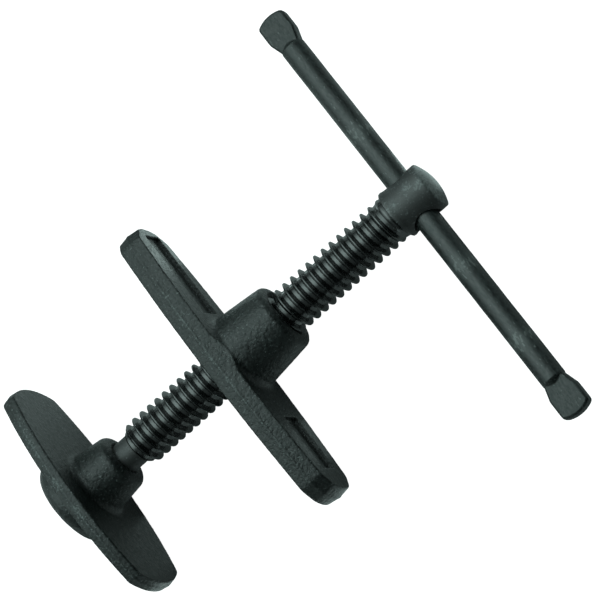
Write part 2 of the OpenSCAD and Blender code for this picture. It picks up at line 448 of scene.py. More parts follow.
@dataclass(frozen=True)
class OxidedSteel:
    """Steel under a dark coat of iron oxide, cloudy, and rubbed pale where it stands proud.

    The coat mirrors like a dielectric of high refractive index, so it isn't metallic. Three
    attributes of a piece steer it: "edge" for proud or hollow, hollows getting painted shade;
    "rub_and_sheen" for worn thin, and for painted sheen where a surface is painted paler to stand
    for a reflection or a highlight; "matt" for dull. One that a piece lacks reads 0.

    A MapRange node has its value at socket 0, its span at 1 and 2 and its results at 3 and 4. A Mix
    node has its share at 0 and its colours at 6 and 7.

    Attributes:
        name: Name of the material.
        deep: Colour of the coat in its darkest clouds.
        coat: Colour of the coat in its palest clouds.
        bare: Colour of the steel where the coat is rubbed, also used for painted sheen and painted glints.
        rough: Mean roughness.
        grain: Size of the skin's grain.
        pits: Size of the scale pits.
        tooth: Height of the grain's bump.
        flecks: How much of the surface carries pale flecks, 0 to 1: rubbed grains, and painted glints of the
            grainy skin.
        wear: How strongly proud edges are rubbed.
        hollow_shade: How strongly hollows are painted darker, as painted shade.
        index: Refractive index of the oxide, which sets how much it mirrors.
        draw: Stretch of the scratches along (x, y, z); 1 keeps them round.
        cloud: Size of the coat's clouds.
        fleck: Size of the pale flecks, drawn coarser than real so that they show in the render.
        hollow_shade_colour: Colour of the painted shade in the hollows.
    """

    name: str
    deep: str
    coat: str
    bare: str
    rough: float
    grain: float
    pits: float
    tooth: float
    flecks: float
    wear: float
    hollow_shade: float
    index: float
    draw: tuple[float, float, float] = (1.0, 1.0, 1.0)
    cloud: float = 16.0
    fleck: float = 0.85
    hollow_shade_colour: str = "#0b0d0d"

    def make(self) -> bpy.types.Material:
        """Builds the material.

        Returns:
            The material, with all its nodes linked.
        """
        material = bpy.data.materials.new(self.name)
        material.use_nodes = True
        tree = material.node_tree
        tree.nodes.clear()
        place = add(tree, "TexCoord").outputs["Object"]
        drawn = add(tree, "Mapping", {"Vector": place, "Scale": self.draw}).outputs["Vector"]
        grain = add(
            tree,
            "TexNoise",
            {"Vector": drawn, "Scale": per_mm(self.grain), "Detail": 2.0, "Roughness": 0.6},
        ).outputs["Fac"]
        rub_and_sheen = add(tree, "Attribute", attribute_name="rub_and_sheen").outputs["Fac"]
        shader = add(
            tree,
            "BsdfPrincipled",
            {
                "Base Color": self.rubbed(tree, self.coated(tree, place, grain), drawn, rub_and_sheen),
                "Roughness": self.dulled(tree, grain),
                "Normal": self.toothed(tree, place, grain),
                "Metallic": 0.0,
                "IOR": self.index,
            },
        )
        add(tree, "OutputMaterial", {"Surface": shader.outputs["BSDF"]})
        return material

    def coated(
        self, tree: bpy.types.NodeTree, place: bpy.types.NodeSocket, grain: bpy.types.NodeSocket
    ) -> bpy.types.NodeSocket:
        """Colours the whole coat: clouds, speckled by the grain, with painted shade in the hollows.

        Args:
            tree: The node tree.
            place: Object coordinates.
            grain: The skin's grain.

        Returns:
            The coat's colour.
        """
        clouds = add(
            tree, "TexNoise", {"Vector": place, "Scale": per_mm(self.cloud), "Detail": 3.0}
        ).outputs["Fac"]
        coat = add(
            tree, "Mix", {0: clouds, 6: linear(self.deep), 7: linear(self.coat)}, data_type="RGBA"
        ).outputs[2]
        shade = add(tree, "MapRange", {0: grain, 1: 0.3, 2: 0.7, 3: 0.2, 4: 2.1}).outputs[0]
        speckled = add(
            tree, "Mix", {0: 1.0, 6: coat, 7: shade}, data_type="RGBA", blend_type="MULTIPLY"
        ).outputs[2]
        edge = add(tree, "Attribute", attribute_name="edge").outputs["Fac"]
        # Hollows, creases and the corners of recesses are painted darker: painted shade where the piece
        # would be shadowed.
        hollow = add(tree, "MapRange", {0: edge, 1: -0.05, 2: -0.6, 3: 0.0, 4: self.hollow_shade}).outputs[0]
        return add(tree, "Mix", {0: hollow, 6: speckled, 7: linear(self.hollow_shade_colour)}, data_type="RGBA").outputs[2]

    def rubbed(
        self,
        tree: bpy.types.NodeTree,
        coat: bpy.types.NodeSocket,
        drawn: bpy.types.NodeSocket,
        rub_and_sheen: bpy.types.NodeSocket,
    ) -> bpy.types.NodeSocket:
        """Wears the coat: thin where it is rubbed, pale where painted sheen stands for a reflection on the
        screw's dome and a highlight on the panel floors, and in pale flecks, partly rubbed grains and
        partly painted glints, most of them where it is proud.

        Args:
            tree: The node tree.
            coat: The coat's colour.
            drawn: Object coordinates, stretched along the scratches.
            rub_and_sheen: How far the coat is rubbed, together with the painted sheen.

        Returns:
            The worn colour, with its painted sheen and painted glints.
        """
        edge = add(tree, "Attribute", attribute_name="edge").outputs["Fac"]
        proud = add(tree, "MapRange", {0: edge, 1: 0.12, 2: 0.7, 3: 0.0, 4: 0.16 * self.wear}).outputs[0]
        worn_and_sheen = add(tree, "Math", {0: rub_and_sheen, 1: 0.18, 2: proud}, operation="MULTIPLY_ADD").outputs[0]
        # Pale flecks of bare colour: partly rubbed grains, partly painted glints of the grainy skin.
        fleck_noise = add(tree, "TexNoise", {"Vector": drawn, "Scale": per_mm(self.fleck), "Detail": 3.0})
        level = add(tree, "Math", {0: fleck_noise.outputs["Fac"], 1: worn_and_sheen}, operation="ADD").outputs[0]
        start = 0.80 - 0.2 * self.flecks
        fleck = add(tree, "MapRange", {0: level, 1: start, 2: start + 0.07, 3: 0.0, 4: 0.8}).outputs[0]
        # The paler coat is wear, and on the screw's dome and the panel floors a painted reflection and a
        # painted highlight.
        thin = add(tree, "Math", {0: rub_and_sheen, 1: 0.3}, operation="MULTIPLY").outputs[0]
        bare = linear(self.bare)
        worn = add(tree, "Mix", {0: thin, 6: coat, 7: bare}, data_type="RGBA").outputs[2]
        return add(tree, "Mix", {0: fleck, 6: worn, 7: bare}, data_type="RGBA").outputs[2]

    def dulled(self, tree: bpy.types.NodeTree, grain: bpy.types.NodeSocket) -> bpy.types.NodeSocket:
        """Varies the roughness with the grain, and raises it where the piece is matt.

        Args:
            tree: The node tree.
            grain: The skin's grain.

        Returns:
            The roughness.
        """
        low, high = self.rough - 0.12, self.rough + 0.14
        rough = add(tree, "MapRange", {0: grain, 1: 0.3, 2: 0.7, 3: low, 4: high}).outputs[0]
        matt = add(tree, "Attribute", attribute_name="matt").outputs["Fac"]
        return add(tree, "Math", {0: matt, 1: 0.38, 2: rough}, operation="MULTIPLY_ADD").outputs[0]

    def toothed(
        self, tree: bpy.types.NodeTree, place: bpy.types.NodeSocket, grain: bpy.types.NodeSocket
    ) -> bpy.types.NodeSocket:
        """Raises the skin's tooth: scale pits, with the grain on top.

        Args:
            tree: The node tree.
            place: Object coordinates.
            grain: The skin's grain.

        Returns:
            The normal.
        """
        pits = add(tree, "TexNoise", {"Vector": place, "Scale": per_mm(self.pits), "Detail": 4.0})
        height = self.tooth * MM
        low = add(tree, "Bump", {"Height": pits.outputs["Fac"], "Strength": 0.6, "Distance": height})
        return add(
            tree,
            "Bump",
            {"Height": grain, "Strength": 0.9, "Distance": height, "Normal": low.outputs["Normal"]},
        ).outputs["Normal"]


# Steel as it leaves the forging die, black-oxided: a matt, grainy, greenish black, with pale specks,
# partly where proud grains are rubbed and partly painted glints. The grain is drawn coarser than real
# so that it shows in the render.
FORGED = OxidedSteel(
    name="black_oxide_on_forged_steel",
    deep="#111817",
    coat="#232b29",
    bare="#8b9493",
    rough=0.4,
    grain=1.1,
    pits=2.4,
    tooth=0.34,
    flecks=0.75,
    wear=0.5,
    hollow_shade=0.8,
    index=1.9,
)

# Steel cut to a thread, black-oxided and oiled: nearly black, with narrow bright glints along the
# flanks and crests. The head and neck are drier, and so duller.
SCREW = OxidedSteel(
    name="oiled_black_oxide_on_cut_thread",
    deep="#070909",
    coat="#121616",
    bare="#8a9393",
    rough=0.17,
    grain=0.5,
    pits=3.0,
    tooth=0.02,
    flecks=0.8,
    wear=0.4,
    hollow_shade=0.9,
    index=2.6,
)

# Drawn steel bar, black-oxided and worn by hands: a satin dark grey with faint marks along its length.
BAR = OxidedSteel(
    name="black_oxide_on_drawn_bar",
    deep="#1e2625",
    coat="#303837",
    bare="#969d9b",
    rough=0.42,
    grain=0.7,
    pits=2.0,
    tooth=0.08,
    flecks=0.7,
    wear=0.8,
    hollow_shade=0.7,
    index=2.1,
    draw=(1.0, 0.35, 1.0),
)

# Spring steel under the thin oxide of its tempering: an even, satin mid grey.
SPRING = OxidedSteel(
    name="tempered_spring_steel",
    deep="#3a3f41",
    coat="#55595b",
    bare="#8d9396",
    rough=0.32,
    grain=0.4,
    pits=2.0,
    tooth=0.02,
    flecks=0.1,
    wear=0.5,
    hollow_shade=0.3,
    index=2.0,
)


@dataclass(frozen=True)
class Outline:
    """Plan of a forged plate: bowed long edges, arched ends and eased corners.

    Attributes:
        length: Length between the ends.
        width: Width across the middle.
        end_width: Width where the ends start.
        end_radius: Radius of the ends.
        ease: How far the corners are cut back.
        turn: Turn about the screw's axis in degrees.
        skew: How far each millimetre below the upper edge moves the ends towards -Y.
    """

    length: float
    width: float
    end_width: float
    end_radius: float
    ease: float = 0.0
    turn: float = 0.0
    skew: float = 0.0

    def discs(self, inset: float) -> list[tuple[float, float, float]]:
        """Lists the discs that the plan lies within: two for its long edges and four for its corners.

        Args:
            inset: How far the plan is drawn in.

        Returns:
            Each disc's (y, z, radius).
        """
        corner = self.length / 2 - self.end_radius + math.sqrt(self.end_radius**2 - self.end_width**2 / 4)
        sag = (self.width - self.end_width) / 2
        bow = (corner**2 + sag**2) / (2 * sag)
        reach = 0.7 * self.length
        cy, cz = corner - reach * math.sqrt(0.5), self.end_width / 2 - reach * math.sqrt(0.5)
        sides = [(0.0, s * (bow - self.width / 2), bow - inset) for s in (-1, 1)]
        corners = [(a * cy, b * cz, reach - self.ease - inset) for a in (-1, 1) for b in (-1, 1)]
        return sides + corners

    def ring(self, inset: float, count: int) -> np.ndarray:
        """Draws the plan as points, in step all the way round.

        Args:
            inset: How far the plan is drawn in.
            count: Number of points.

        Returns:
            Rows of (y, z).
        """
        aim = aims(count, self.length / 2, self.width / 2)
        far = np.min([leave(aim, *disc) for disc in self.discs(inset)], axis=0)
        middle = self.length / 2 - self.end_radius
        ends = [leave(aim, s * middle, 0.0, self.end_radius - inset) for s in (-1, 1)]
        # Only the part beyond this slab is shaped by the ends' arcs.
        slab = (self.length / 2 - 0.9 * self.end_radius) / np.maximum(np.abs(aim[:, 0]), TINY)
        points = aim * np.minimum(far, np.max([slab, *ends], axis=0))[:, None]
        # The skew starts a quarter of the length from the middle and is full at the ends.
        share = np.clip(np.abs(points[:, 0]) / self.length * 4 - 1, 0, 1)
        points[:, 0] += self.skew * share * (points[:, 1] - self.end_width / 2)
        c, s = math.cos(math.radians(self.turn)), math.sin(math.radians(self.turn))
        return points @ np.array([[c, s], [-s, c]])


def forged_plate(name: str, plan: Outline, foot: float, thick: float) -> bpy.types.Object:
    """Extrudes a forged plate: drafted walls, rounded edges and the ridge of the parting line.

    Args:
        name: Name of the new piece.
        plan: The plate's plan.
        foot: X of its lower face.
        thick: Its thickness.

    Returns:
        The closed solid.
    """
    half = thick / 2
    lean = (half - EDGE[-1][0]) * math.tan(math.radians(DRAFT))
    lower = [(x, lean + inset) for x, inset in EDGE] + [(half - x, inset) for x, inset in RIDGE]
    upper = [(thick - x, inset) for x, inset in reversed(lower)]
    return stacked(name, [(foot + x, plan.ring(inset, PLATE_CORNERS)) for x, inset in lower + upper], 0.0)


def ridge_rub(plate: bpy.types.Object, x: float, spread: float) -> np.ndarray:
    """Says how far the coat is rubbed on a forging's outer wall, most of all along its parting line.

    Args:
        plate: The forging.
        x: Where the parting line runs.
        spread: How far the rubbing reaches from the line.

    Returns:
        One value from 0 to 1 for each point.
    """
    places, normals = points_of(plate)
    along = places[:, 1]
    wall = np.clip((0.5 - np.abs(normals[:, 0])) / 0.3, 0, 1)
    patchy = np.clip(0.6 + 0.6 * np.sin(0.31 * along + 1.7 * np.sin(0.13 * along)), 0.4, 1)
    fading = np.clip(1.6 - np.abs(along) / 32, 0, 1)
    line = patchy * fading * np.exp(-(((places[:, 0] - x) / (spread * patchy)) ** 2))
    return wall * (0.13 + 0.87 * line)


@dataclass
class NutPlate:
    """The forged plate that the screw turns in.

    Attributes:
        material: The material to wear.
        plan: The plate's plan.
        foot: X of its lower face.
        face: X of its upper face.
        boss_top: X of the boss's top.
        boss_foot_r: Radius of the boss at its foot.
        boss_top_r: Radius of the boss at its top.
        boss_rim: Rounding of the boss's rim.
        flare_reach: How far the fillet reaches out from the boss.
        flare_size: Radius of the fillet.
        bore_r: Radius of the bore.
        sink: Depth of the bore's countersinks.
        panels: Each sunk panel's (lowest Y, highest Y, lowest Z, highest Z).
        panel_depth: How deep the panels are sunk.
        skin: Pairs of (hump width, height) of the forged skin.
    """

    material: bpy.types.Material
    plan: Outline = field(
        default_factory=lambda: Outline(130.0, 34.8, 25.2, end_radius=22.0, ease=1.4, skew=0.09)
    )
    foot: float = 74.2
    face: float = 84.5
    boss_top: float = 108.5
    boss_foot_r: float = 16.5
    boss_top_r: float = 14.25
    boss_rim: float = 3.0
    flare_reach: float = 3.1
    flare_size: float = 3.6
    bore_r: float = 9.58
    sink: float = 1.2
    panels: tuple[tuple[float, float, float, float], ...] = (
        (20.8, 59.6, -7.7, 5.2),
        (-55.4, -31.0, -6.9, 5.7),
    )
    panel_depth: float = 2.0
    skin: Profile = ((5.0, 0.14), (1.4, 0.16))

    def boss(self) -> bpy.types.Object:
        """Turns the tapered boss with its rounded rim.

        Returns:
            The closed solid, rooted in the plate.
        """
        height = self.boss_top - self.boss_rim - self.face
        lean = (self.boss_foot_r - self.boss_top_r) / height
        stations = [(self.face - 4, self.boss_foot_r)]
        stations += [(self.face + rise, self.boss_foot_r - lean * rise) for rise in (0, 7, 14)]
        stations += rim_arc(self.boss_top, self.boss_top_r, self.boss_rim)
        return turned("boss", stations, ROUND)

    def flare(self) -> bpy.types.Object:
        """Turns the fillet at the boss's foot, kept within the plate's plan.

        Returns:
            The closed solid, rooted in the plate.
        """
        radius = self.boss_foot_r + self.flare_reach
        stations = [(self.face - 3, radius)] + fillet_arc(self.face, radius, self.flare_size)
        fillet = turned("fillet", stations, ROUND)
        within = self.plan.ring(0.75, 192)
        work(fillet, stacked("prism", [(self.foot, within), (self.face + 8, within)], 0.0), Join.KEEP)
        return fillet

    def panel(self, low: float, high: float, bottom: float, top: float) -> bpy.types.Object:
        """Extrudes the hollow of one sunk panel, with straight sides, small corners and steep walls.

        Args:
            low: Lowest Y of its floor.
            high: Highest Y of its floor.
            bottom: Lowest Z of its floor.
            top: Highest Z of its floor.

        Returns:
            The closed cutter.
        """
        middle, half = (low + high) / 2, (high - low) / 2
        aim = aims(176, half, (top - bottom) / 2)
        side = np.where(aim[:, 1] > 0, top, -bottom)
        steep = np.maximum(np.abs(aim), TINY)
        rings = []
        for rise, grow in ((0.0, -0.1), (0.3, 0.0), (self.panel_depth, 0.2), (self.panel_depth + 2, 0.8)):
            far = np.minimum((half + grow) / steep[:, 0], (side + grow) / steep[:, 1])
            ring = np.array([middle, 0.0]) + aim * far[:, None]
            rings.append((self.face - self.panel_depth + rise, softened(ring, 3)))
        return stacked("panel", rings, middle)

    def bore(self) -> bpy.types.Object:
        """Turns the bore's cutter, with a countersink at each end.

        Returns:
            The closed cutter.
        """
        stations = [
            (self.foot - 2, self.bore_r + self.sink + 2),
            (self.foot + self.sink, self.bore_r),
            (self.boss_top - self.sink, self.bore_r),
            (self.boss_top + 1, self.bore_r + self.sink + 1),
        ]
        return turned("bore", stations, ROUND)

    def painted_floor_highlight(self, plate: bpy.types.Object) -> np.ndarray:
        """Says how much paler the floors of the sunk panels are painted: a painted highlight, standing for
        the light that raised lettering would catch there.

        Args:
            plate: The forging.

        Returns:
            One value from 0 to 1 for each point.
        """
        places, normals = points_of(plate)
        deep = np.abs(places[:, 0] - self.face + self.panel_depth) < 0.6
        return 0.15 * deep * np.clip((normals[:, 0] - 0.8) / 0.1, 0, 1)

    def build(self) -> None:
        """Forges the plate, then cuts its bore and dresses it."""
        plate = forged_plate("nut_plate_forging", self.plan, self.foot, self.face - self.foot)
        work(plate, self.flare(), Join.ADD)
        work(plate, self.boss(), Join.ADD)
        for hollow in self.panels:
            work(plate, self.panel(*hollow), Join.CUT)
        forge_skin(plate, voxel=0.4, rounds=1, swell=self.skin)
        work(plate, self.bore(), Join.CUT)
        note_edges(plate, rounds=14, reach=0.35)
        wall = ridge_rub(plate, (self.foot + self.face) / 2, spread=0.7)
        # The panel floors' share is painted highlight; the walls' share is wear along the parting line.
        note(plate, "rub_and_sheen", np.maximum(wall, self.painted_floor_highlight(plate)))
        finish_piece(plate, "nut_plate", self.material)


@dataclass
class PressurePlate:
    """The swivelling plate that bears on the piston.

    Attributes:
        material: The material to wear.
        plan: The plate's plan.
        thick: Its thickness.
        boss_top: X of the swivel boss's top.
        boss_foot_r: Radius of the boss at its foot.
        boss_top_r: Radius of the boss at its top.
        boss_rim: Rounding of the boss's rim.
        fillet: Radius of the fillet at the boss's foot.
        push_r: Radius of the pushing pad.
        push_h: How far the pad stands out under the plate.
        push_edge: Rounding of the pad's edge.
        crown_r: Radius of the pad's crown.
        neck_r: Radius of the bore for the screw's journal.
        neck_end: X of the bore's blind end.
        groove_r: Radius of the snap ring's groove.
        skin: Pairs of (hump width, height) of the forged skin.
    """

    material: bpy.types.Material
    plan: Outline = field(default_factory=lambda: Outline(97.0, 51.0, 35.0, end_radius=34.0, turn=-2.0))
    thick: float = 6.0
    boss_top: float = 22.0
    boss_foot_r: float = 13.5
    boss_top_r: float = 12.0
    boss_rim: float = 3.4
    fillet: float = 2.6
    push_r: float = 19.25
    push_h: float = 9.3
    push_edge: float = 5.0
    crown_r: float = 48.0
    neck_r: float = 6.56
    neck_end: float = -4.85
    groove_r: float = 7.8
    skin: Profile = ((5.0, 0.12), (1.5, 0.09))

    def boss(self) -> bpy.types.Object:
        """Turns the swivel boss with a filleted foot and a rounded rim.

        Returns:
            The closed solid, rooted in the plate.
        """
        stations = [(self.thick - 3, self.boss_foot_r + self.fillet)]
        stations += fillet_arc(self.thick, self.boss_foot_r + self.fillet - 0.2, self.fillet)
        stations += rim_arc(self.boss_top, self.boss_top_r, self.boss_rim)
        return turned("swivel_boss", stations, ROUND)

    def pushing_pad(self) -> bpy.types.Object:
        """Turns the crowned round pad under the plate.

        Returns:
            The closed solid, rooted in the plate.
        """
        edge, crown = self.push_edge, self.crown_r
        stations = [(3.0, self.push_r), (0.5, self.push_r)]
        for k in range(1, 6):
            a = math.radians(13 * k)
            x = 1 + edge - self.push_h - edge * math.sin(a)
            stations.append((x, self.push_r - edge + edge * math.cos(a)))
        for r in (14.0, 10.0, 6.0, 2.0, 0.4):
            stations.append((crown - self.push_h - math.sqrt(crown**2 - r**2), r))
        return turned("pushing_pad", stations, ROUND)

    def neck_bore(self) -> bpy.types.Object:
        """Turns the cutter of the journal's bore, with the snap ring's groove and an eased mouth.

        Returns:
            The closed cutter.
        """
        low, high = GROOVE
        stations = [
            (self.neck_end, self.neck_r),
            (low, self.neck_r),
            (low + SHOULDER, self.groove_r),
            (high, self.groove_r),
            (high + SHOULDER, self.neck_r),
            (self.boss_top - 1, self.neck_r),
            (self.boss_top + 2, self.neck_r + 3),
        ]
        return turned("neck_bore", stations, ROUND)

    def build(self) -> None:
        """Forges the plate, then cuts its bore and dresses it."""
        plate = forged_plate("pressure_plate_forging", self.plan, 0.0, self.thick)
        work(plate, self.pushing_pad(), Join.ADD)
        work(plate, self.boss(), Join.ADD)
        forge_skin(plate, voxel=0.4, rounds=1, swell=self.skin)
        work(plate, self.neck_bore(), Join.CUT)
        note_edges(plate, rounds=14, reach=0.35)
        note(plate, "rub_and_sheen", ridge_rub(plate, self.thick / 2, spread=1.2))
        finish_piece(plate, "pressure_plate", self.material)


@dataclass
class LeadScrew:
    """The spindle: swivel neck, right-handed thread with its run-out, and the domed head.

    Attributes:
        material: The material to wear.
        lead: How far the thread rises in one turn.
        crest_r: Radius of the thread's crest.
        root_r: Radius of its root.
        phase: Turn of the thread about the axis, as a share of one turn.
        crest: Half the crest's width, as a share of the lead.
        flank: Width of a flank, as a share of the lead.
        crown: How far the crest falls towards its edges.
        run_out: Length over which the thread fades into the head.
        faded: Share of the thread's depth that is left at the head.
        sunk: How far the faded thread lies below the crest.
        neck_r: Radius of the neck and journal.
        neck_end: X of the journal's end.
        neck_stations: Where the neck has a ring of points between the groove and the thread.
        groove_r: Radius at the bottom of the snap ring's groove.
        thread_start: X where the thread starts.
        head_start: X where the head starts.
        head_r: Radius of the head.
        lip: Pairs of (rise, swell) of the lip under the head.
        rim: X of the head's rim.
        dome: Height of the dome.
        dome_shares: Rings of points on the dome, as shares of the head's radius.
        hole_r: Radius of the cross hole.
        mouth: Pairs of (distance from the axis, widening) of the hole's eased mouths.
        patches: Middle (x, y) of the rubbed patches on the head.
        around: Number of points in a ring.
        per_turn: Number of rings in one turn of the thread.
    """

    material: bpy.types.Material
    lead: float = 4.0
    crest_r: float = 9.5
    root_r: float = 7.35
    phase: float = 0.25
    crest: float = 0.07
    flank: float = 0.25
    crown: float = 0.03
    run_out: float = 9.0
    faded: float = 0.14
    sunk: float = 0.35
    neck_r: float = 6.5
    neck_end: float = -4.65
    neck_stations: tuple[float, ...] = (18.0, 22.0, 26.0, 28.6)
    groove_r: float = 5.2
    thread_start: float = 29.0
    head_start: float = 165.0
    head_r: float = 10.0
    lip: Profile = ((0.0, -0.3), (0.4, 0.25), (1.2, 0.38), (2.2, 0.12), (3.4, 0.0))
    rim: float = 182.5
    dome: float = 2.5
    dome_shares: tuple[float, ...] = (0.9, 0.8, 0.65, 0.5, 0.35, 0.2, 0.08, 0.0)
    hole_r: float = 5.09
    mouth: Profile = ((5.6, 0.0), (6.4, 0.75), (16.0, 1.9))
    patches: Profile = ((168.0, 1.0), (176.5, 3.0), (181.0, 0.5))
    around: int = 72
    per_turn: int = 26

    def thread(self, x: np.ndarray, angle: np.ndarray) -> np.ndarray:
        """Gives the thread's radius at each station and angle.

        Args:
            x: Stations along the axis, as a column.
            angle: Angles about the axis from +Y towards +Z, as a row.

        Returns:
            Radii, one row to a station.
        """
        turn = x / self.lead - angle / (2 * math.pi) + self.phase
        off = np.abs(turn - np.round(turn))
        ramp = np.clip((off - self.crest) / self.flank, 0, 1)
        depth = (self.crest_r - self.root_r) * ramp + self.crown * (off / self.crest).clip(0, 1) ** 2
        kept = np.clip((self.head_start - x) / self.run_out, self.faded, 1)
        depth = depth * kept + self.sunk * (1 - kept)
        # The thread starts just proud of the neck and rises over a short cone.
        lead_in = self.neck_r + 0.6 + np.clip(x - self.thread_start, 0, None) * 0.8
        return np.minimum(self.crest_r - depth, lead_in)

    def neck_profile(self) -> list[tuple[float, float]]:
        """Lists the stations (x, radius) from the journal's end to the thread's start.

        Returns:
            The stations, with the snap ring's groove.
        """
        end, radius = self.neck_end, self.neck_r
        low, high = GROOVE
        stations = [(end, 0.0), (end, 3.0), (end, radius - 1), (end + 1, radius), (low, radius)]
        stations += [(low + SHOULDER, self.groove_r), (high, self.groove_r), (high + SHOULDER, radius)]
        return stations + [(x, radius) for x in self.neck_stations]

    def head_profile(self) -> list[tuple[float, float]]:
        """Lists the stations (x, radius) of the head, from the lip under it to the top of its dome.

        Returns:
            The stations.
        """
        start, radius, rim = self.head_start, self.head_r, self.rim
        stations = [(start - 0.1, self.crest_r - 0.4)]
        stations += [(start + rise, radius + swell) for rise, swell in self.lip]
        stations += [(x, radius) for x in np.linspace(start + 5, rim - 1.2, 14)]
        stations += [(rim - 0.35, radius), (rim + 0.05, radius - 0.12), (rim + 0.3, radius - 0.5)]
        curve = (radius**2 + self.dome**2) / (2 * self.dome)
        for share in self.dome_shares:
            drop = curve - math.sqrt(curve**2 - (radius * share) ** 2)
            stations.append((rim + self.dome - drop, radius * share))
        return stations

    def rings(self) -> np.ndarray:
        """Lays out every ring of the spindle, from the neck's end to the top of the dome.

        Returns:
            Array of (rings, points in a ring, 3).
        """
        angle = np.linspace(0, 2 * math.pi, self.around, endpoint=False)[None, :]
        neck, head = np.array(self.neck_profile()), np.array(self.head_profile())
        cut = np.arange(self.thread_start, self.head_start, self.lead / self.per_turn)
        stations = np.concatenate([neck[:, 0], cut, head[:, 0]])[:, None]
        radii = np.concatenate(
            [
                np.repeat(neck[:, 1:], self.around, axis=1),
                self.thread(cut[:, None], angle),
                np.repeat(head[:, 1:], self.around, axis=1),
            ]
        )
        along = np.repeat(stations, self.around, axis=1)
        return np.stack([along, radii * np.cos(angle), radii * np.sin(angle)], axis=2)

    def hole(self) -> bpy.types.Object:
        """Turns the cross hole's cutter, with both mouths eased.

        Returns:
            The closed cutter, in its place in the head.
        """
        half = [(x, self.hole_r + grow) for x, grow in self.mouth]
        cutter = turned("cross_hole", [(-x, radius) for x, radius in reversed(half)] + half)
        cutter.data.transform(bar_place() @ Matrix.Rotation(math.pi / 2, 4, "Z"))
        return cutter

    def rub_and_sheen_head(self, screw: bpy.types.Object) -> None:
        """Dulls the neck and the head, paints the dome pale as a painted reflection of the bright floor,
        and rubs the coat thin on a few patches of the head.

        Args:
            screw: The finished mesh.
        """
        x, y, z = points_of(screw)[0].T
        head = np.clip(x - self.head_start, 0, 1)
        note(screw, "matt", np.maximum(head, x < self.thread_start))
        # The dome is painted fully pale: a painted reflection of the bright floor, which its face catches at
        # a grazing angle.
        dome = np.clip((x - self.rim + 0.6) / 0.8, 0, 1)
        upper = 0.9 * head * (z > 0)
        patches = [upper * np.exp(-(((x - a) / 2.5) ** 2) - ((y - b) / 2.5) ** 2) for a, b in self.patches]
        note(screw, "rub_and_sheen", np.max([dome, 0.1 * head, *patches], axis=0))

    def build(self) -> None:
        """Cuts the thread, drills the head and dresses the spindle."""
        screw = rolled("lead_screw_spindle", self.rings())
        work(screw, self.hole(), Join.CUT)
        note_edges(screw, rounds=4, reach=0.35)
        self.rub_and_sheen_head(screw)
        finish_piece(screw, "screw", self.material)


